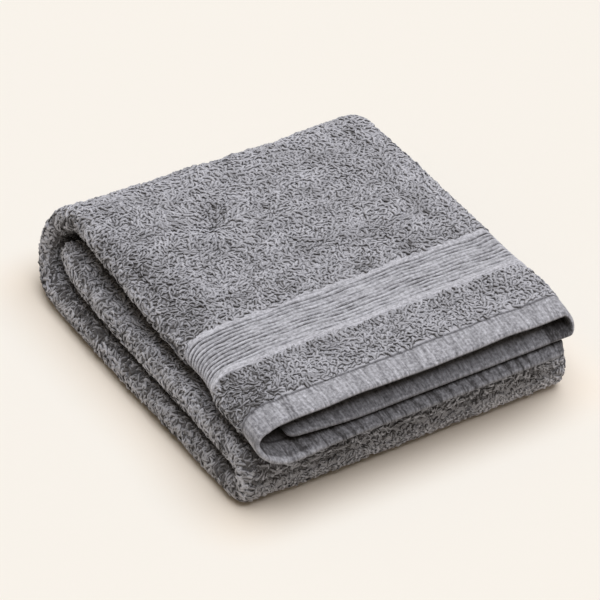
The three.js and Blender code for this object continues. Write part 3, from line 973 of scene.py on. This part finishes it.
def clothMaterial():
    material, tree, shader = newMaterial("towelWeave")
    calc = partial(addMath, tree)
    uv = addNode(tree, "ShaderNodeUVMap", uv_map="flatCloth").outputs["UV"]
    parts = addNode(tree, "ShaderNodeSeparateXYZ")
    tree.links.new(uv, parts.inputs[0])
    weft, warp = [calc("MULTIPLY", parts.outputs[way], 1000.0) for way in "XY"]
    inHem = calc("LESS_THAN", warp, fold["hem"] + 0.05)
    beforeEnd = calc("LESS_THAN", warp, fold["borderEnd"] + 0.2)
    inBorder = calc("MULTIPLY", calc("GREATER_THAN", warp, fold["borderStart"]), beforeEnd)
    woven = calc("MAXIMUM", inHem, inBorder)
    threads = [calc("SINE", calc("MULTIPLY", way, 2 * math.pi / pitch))
               for way, pitch in zip((weft, warp), finish["threads"])]
    weave = calc("MULTIPLY", *threads)
    # streaks across the hem and slubs along the border
    stretched = partial(stretchedNoise, tree, weft, warp, inBorder)
    streaks = stretched((0.8, -0.72), (0.07, 0.9), Detail=4.0, Roughness=0.62)
    specks = addNoise(tree, uv, Scale=620.0, Detail=3.0, Roughness=0.65)
    base, *strengths = finish["wovenTone"]
    tone = addParts(tree, base, strengths, (specks, streaks, weave, inBorder))
    tone = calc("MINIMUM", calc("MAXIMUM", tone, 0.0), 1.0)
    wovenColour = addMix(tree, tone, finish["woven"], finish["wovenLight"])
    # painted shade from the groove attribute: the border's grooves come and go, the hem's are uneven
    groove = addNode(tree, "ShaderNodeAttribute", attribute_name="groove").outputs["Fac"]
    gaps = stretched((1.2, -0.9), (0.4, 0.4), Detail=2.0, Roughness=0.6)
    kept = calc("MINIMUM", calc("MULTIPLY_ADD", gaps, 2.6, -0.3), 1.25)
    uneven = calc("MULTIPLY_ADD", gaps, 0.9, 0.55)
    change = calc("SUBTRACT", calc("MAXIMUM", kept, 0.2), uneven)
    kept = calc("MULTIPLY_ADD", inBorder, change, uneven)
    groove = calc("MINIMUM", calc("MULTIPLY", groove, kept), 1.0)
    colour = addMix(tree, woven, finish["ground"], wovenColour)
    tree.links.new(addMix(tree, groove, colour, finish["groove"], "MULTIPLY"), shader.inputs["Base Color"])
    relief = calc("MULTIPLY_ADD", streaks, 1.6, calc("MULTIPLY", weave, 0.5))
    addBump(tree, shader, calc("ADD", relief, specks), strength=0.8, distance=0.0003)
    return material


def threadMaterial():
    material, tree, shader = newMaterial("hemThread")
    place = addNode(tree, "ShaderNodeTexCoord").outputs["Object"]
    fibre = addNoise(tree, place, Scale=3000.0, Detail=2.0)
    tree.links.new(addMix(tree, fibre, finish["thread"], finish["woven"]), shader.inputs["Base Color"])
    return material


def floorMaterial():
    material, tree, shader = newMaterial("paleFloor")
    place = addNode(tree, "ShaderNodeTexCoord").outputs["Object"]
    clouds = addNoise(tree, place, Scale=3.0, Detail=2.0)
    darker = tuple(c * 0.985 for c in finish["floor"])
    colour = addMix(tree, clouds, darker, finish["floor"])
    # distance from the towel's foot, for the painted shadow tint
    far = place
    for operation in ("ABSOLUTE", "SUBTRACT", "MAXIMUM", "LENGTH"):
        step = addNode(tree, "ShaderNodeVectorMath", operation=operation)
        tree.links.new(far, step.inputs[0])
        if operation == "SUBTRACT":
            step.inputs[1].default_value = finish["floorShadowTintFrom"]
        far = step.outputs["Value" if operation == "LENGTH" else "Vector"]
    values = {"From Max": finish["floorShadowTintWide"], "To Min": 1.0, "To Max": 0.0}
    near = addNode(tree, "ShaderNodeMapRange", interpolation_type="SMOOTHSTEP", **values)
    tree.links.new(far, near.inputs["Value"])
    tree.links.new(addMix(tree, near.outputs[0], colour, finish["floorShadowTint"]), shader.inputs["Base Color"])
    shader.inputs["Specular IOR Level"].default_value = 0.0
    return material


# building
weaveLook = clothMaterial()
cloth = makeSheet("towelCloth", acrossStops(), alongStops(), clothHalf, clothShades)
hemColumns = np.interp(np.linspace(0, clothWidth, hem["columns"]), weftScale, acrossScale)
hemRows = np.array((0.0,) + hem["rows"]) / panelLong
hemBand = makeSheet("hemBand", hemColumns, hemRows, hemHalf, hemShades)
for piece in (cloth, hemBand):
    piece.data.materials.append(weaveLook)
loopShape = makeLoopShape()
places = pilePlaces(BVHTree.FromObject(cloth, bpy.context.evaluated_depsgraph_get()))
pileLook = pileMaterial()
draw = np.random.default_rng(pile["seed"] + 1)
onRight = places["weft"] < np.interp(2.5, acrossScale, weftScale)
regions = (
    ("pileFrontStrip", 0.0, 0.36, True), ("pileTopRight", 0.36, 1.0, onRight),
    ("pileTopLeft", 0.36, 1.0, ~onRight), ("pileBackBend", 1.0, 2.0, True),
    ("pileUnderside", 2.0, 3.0, True), ("pileFrontBend", 3.0, 4.0, True), ("pileInside", 4.0, 5.1, True),
)
pilePieces = []
for name, low, high, half in regions:
    chosen = (places["along"] >= low) & (places["along"] < high) & half
    piece = makePile(name, {key: values[chosen] for key, values in places.items()}, loopShape, draw)
    piece.data.materials.append(pileLook)
    pilePieces.append(piece)
stitches = makeStitches(loopShape)
stitches.data.materials.append(threadMaterial())

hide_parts("towel")
for piece in [cloth, hemBand, stitches] + pilePieces:
    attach(piece, "root")

# floor, light and camera
stage = {
    "floorHalf": 3.0, "floorParts": 12,
    "cameraAt": (-0.83746, -1.38420, 1.26694), "cameraAim": (-0.00217, -0.00257, 0.02376), "lens": 257.2,
    "keyWay": (-0.27, 0.0, -1.0), "keySpread": 70.0, "keyPower": 2.76, "keyColour": (0.95, 0.965, 1.0),
    "sky": (1.0, 0.84, 0.64), "skyPower": 0.225,
}


def makeFloor():
    bm = bmesh.new()
    parts = stage["floorParts"]
    bmesh.ops.create_grid(bm, x_segments=parts, y_segments=parts, size=stage["floorHalf"])
    mesh = bpy.data.meshes.new("floor")
    bm.to_mesh(mesh)
    bm.free()
    mesh.materials.append(floorMaterial())
    floor = addPiece("floor", mesh)


def makeLight():
    data = bpy.data.lights.new("keyLight", "SUN")
    data.angle, data.energy = math.radians(stage["keySpread"]), stage["keyPower"]
    data.color = stage["keyColour"]
    light = addPiece("keyLight", data)
    light.location = (0, 0, 1)
    light.rotation_euler = Vector(stage["keyWay"]).to_track_quat("-Z", "Y").to_euler()


def makeCamera():
    data = bpy.data.cameras.new("camera")
    data.lens, data.sensor_width, data.clip_end = stage["lens"], 36.0, 20.0
    camera = addPiece("camera", data)
    camera.location = stage["cameraAt"]
    aim = Vector(stage["cameraAim"]) - Vector(stage["cameraAt"])
    camera.rotation_euler = aim.to_track_quat("-Z", "Y").to_euler()
    scene.camera = camera


makeFloor()
makeLight()
world = scene.world or bpy.data.worlds.new("studio")
scene.world = world
world.use_nodes = True
background = world.node_tree.nodes["Background"]
background.inputs["Color"].default_value = (*stage["sky"], 1.0)
background.inputs["Strength"].default_value = stage["skyPower"]
scene.view_settings.view_transform = "Standard"
makeCamera()
print("stage ready")
